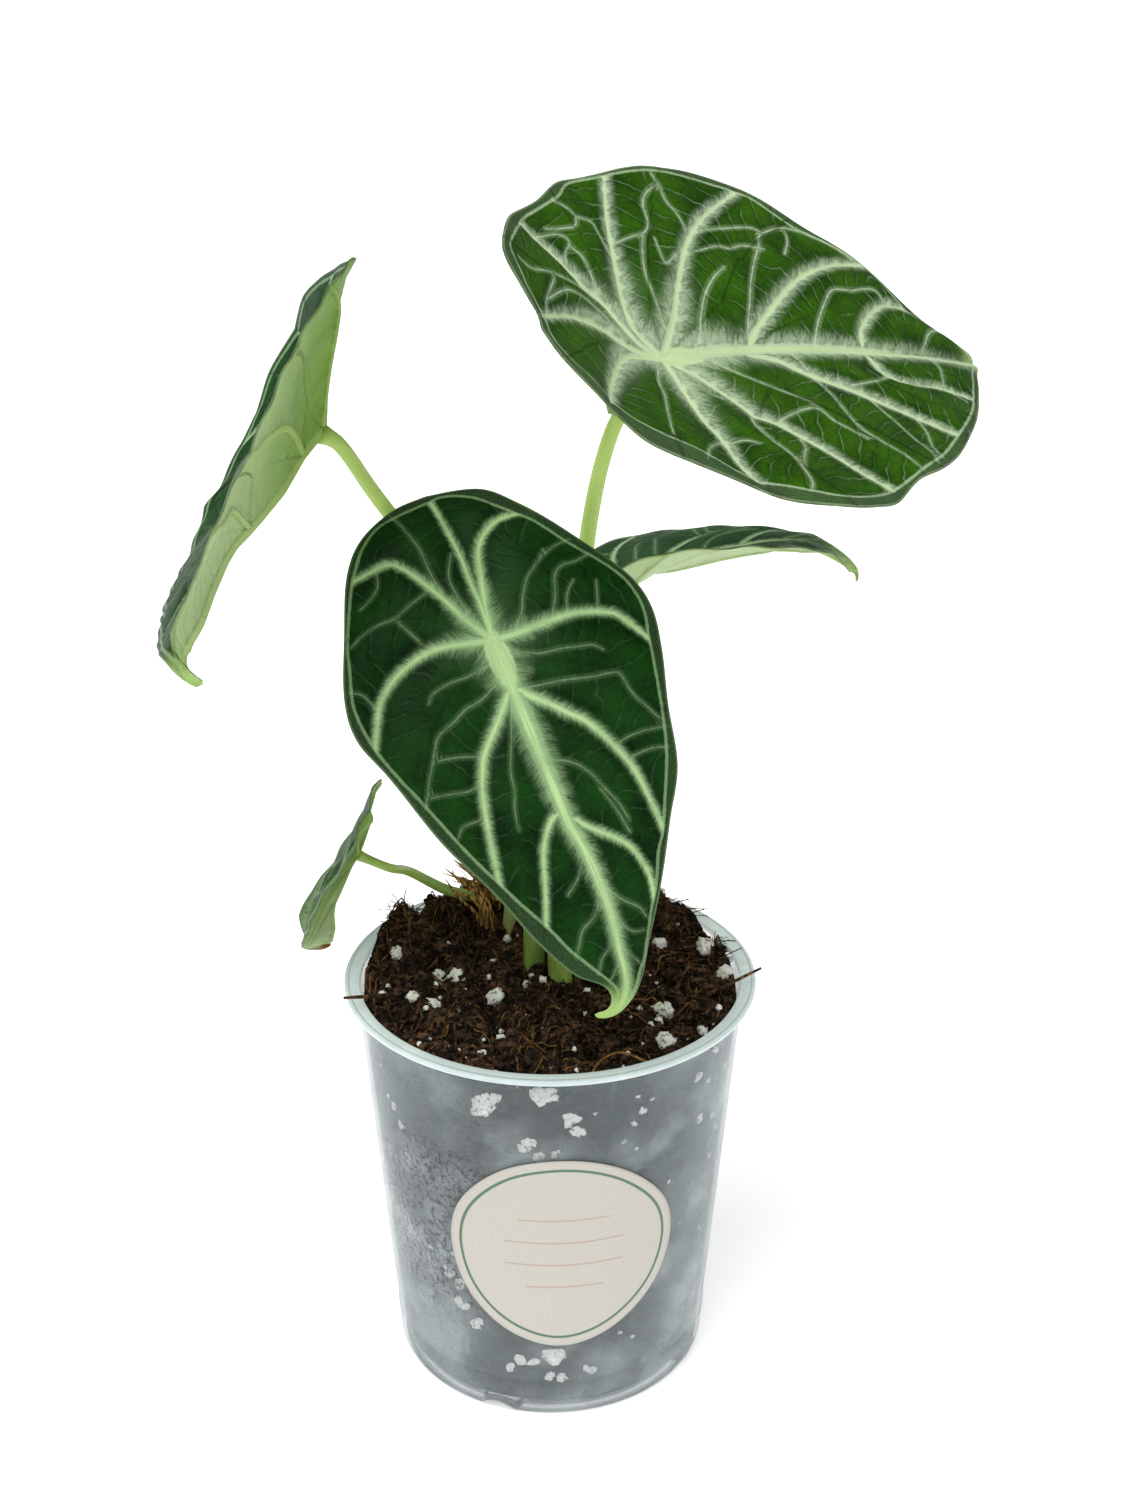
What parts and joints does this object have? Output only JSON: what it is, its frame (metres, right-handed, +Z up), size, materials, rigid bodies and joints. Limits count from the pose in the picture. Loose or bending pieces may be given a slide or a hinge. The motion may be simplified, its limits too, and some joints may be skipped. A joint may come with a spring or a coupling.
{
  "type": "potted ninja alocasia",
  "caption": "Small aroid with glossy dark shield-shaped leaves and broad pale veins on slender arching stems, growing in a clear tapered nursery pot.",
  "frame": {"origin": "centre of the pot's foot, on the plane it stands on", "axes": "+Z up; the pot's sticker faces -Y; +X is to the right as seen from the sticker's side"},
  "size_m": [0.2251, 0.2178, 0.3499],
  "materials": {
    "pot": "translucent satin",
    "sticker": "matte",
    "potting_mix": "rough",
    "leaf_blade": "glossy",
    "leaf_stem": "satin",
    "dry_sheath": "matte"
  },
  "bodies": {
    "root": {"pot": "pot", "sticker": "sticker", "potting_mix": "potting_mix", "front_leaf_blade": "leaf_blade", "front_leaf_stem": "leaf_stem", "upper_leaf_blade": "leaf_blade", "upper_leaf_stem": "leaf_stem", "left_leaf_blade": "leaf_blade", "left_leaf_stem": "leaf_stem", "back_leaf_blade": "leaf_blade", "back_leaf_stem": "leaf_stem", "small_leaf_blade": "leaf_blade", "small_leaf_stem": "leaf_stem", "dry_sheath": "dry_sheath", "stem_stub": "leaf_stem"}
  },
  "joints": []
}
